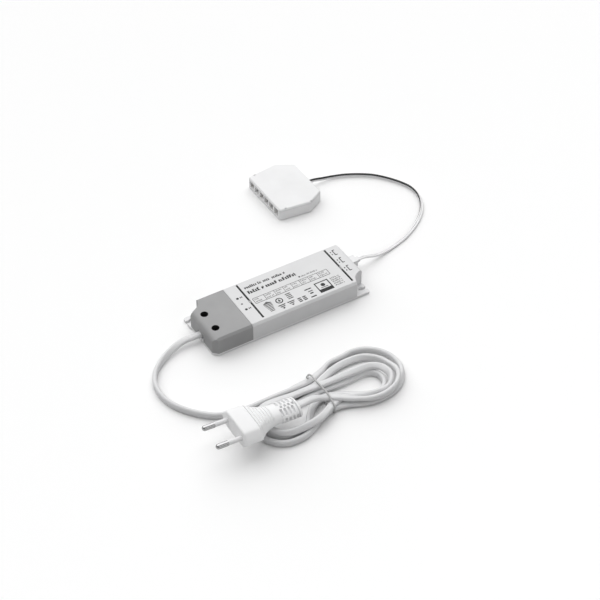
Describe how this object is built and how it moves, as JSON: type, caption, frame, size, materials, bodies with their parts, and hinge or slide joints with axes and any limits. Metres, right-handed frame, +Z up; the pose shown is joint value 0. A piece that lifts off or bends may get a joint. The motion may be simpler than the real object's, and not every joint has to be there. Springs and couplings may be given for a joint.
{
  "type": "led driver",
  "caption": "Slim plastic LED driver with fixing ears, a grey terminal cover, a tied mains lead with Euro plug, and an output lead to a flat socket distributor.",
  "frame": {"origin": "on the underside, below the middle of the driver's housing", "axes": "+X from the mains end to the output end, +Y to the side where the distributor lies, +Z up"},
  "size_m": [0.2815, 0.2617, 0.0261],
  "materials": {
    "white_plastic": "fine satin moulding",
    "grey_plastic": "fine satin moulding",
    "dark_plastic": "matt moulding",
    "terminal_plastic": "satin moulding",
    "board_laminate": "coated laminate",
    "steel": "zinc plated",
    "copper": "bare",
    "spring_brass": "bright",
    "ferrite": "matt, sintered",
    "film_yellow": "moulded",
    "sleeve_blue": "shrunk sleeve",
    "ceramic_ivory": "glazed",
    "heat_sink_metal": "plain",
    "lead_white": "smooth cord sheath",
    "lead_twin": "smooth, one dark core and one light core",
    "tie_wire": "coated wire",
    "pin_metal": "nickel plated"
  },
  "bodies": {
    "root": {"base_tray": "white_plastic", "top_cover": "white_plastic", "terminal_cover": "grey_plastic", "terminal_cover_screws": "steel", "cord_clamp": "dark_plastic", "cord_clamp_screws": "steel", "mains_conductors": "copper", "input_terminal_block": "terminal_plastic", "circuit_board": "board_laminate", "fuse": "ceramic_ivory", "interference_capacitor": "film_yellow", "mains_choke_core": "ferrite", "mains_choke_windings": "copper", "bridge_rectifier": "dark_plastic", "bulk_capacitor": "sleeve_blue", "heat_sink": "heat_sink_metal", "switching_transistor": "dark_plastic", "controller_chip": "dark_plastic", "transformer_core": "ferrite", "transformer_winding": "film_yellow", "optocoupler": "dark_plastic", "safety_capacitor": "sleeve_blue", "output_diode": "dark_plastic", "output_capacitors": "sleeve_blue", "output_choke": "ferrite", "output_socket_block": "white_plastic", "output_contacts": "spring_brass", "output_plug": "white_plastic", "output_lead": "lead_twin", "distributor_base": "white_plastic", "distributor_lid": "white_plastic", "positive_bus_bar": "spring_brass", "negative_bus_bar": "spring_brass", "mains_lead": "lead_white", "lead_hank": "lead_white", "hank_tie": "tie_wire", "plug_lead": "lead_white", "plug_body": "white_plastic", "plug_pins": "pin_metal", "pin_sleeves": "white_plastic"}
  },
  "joints": []
}
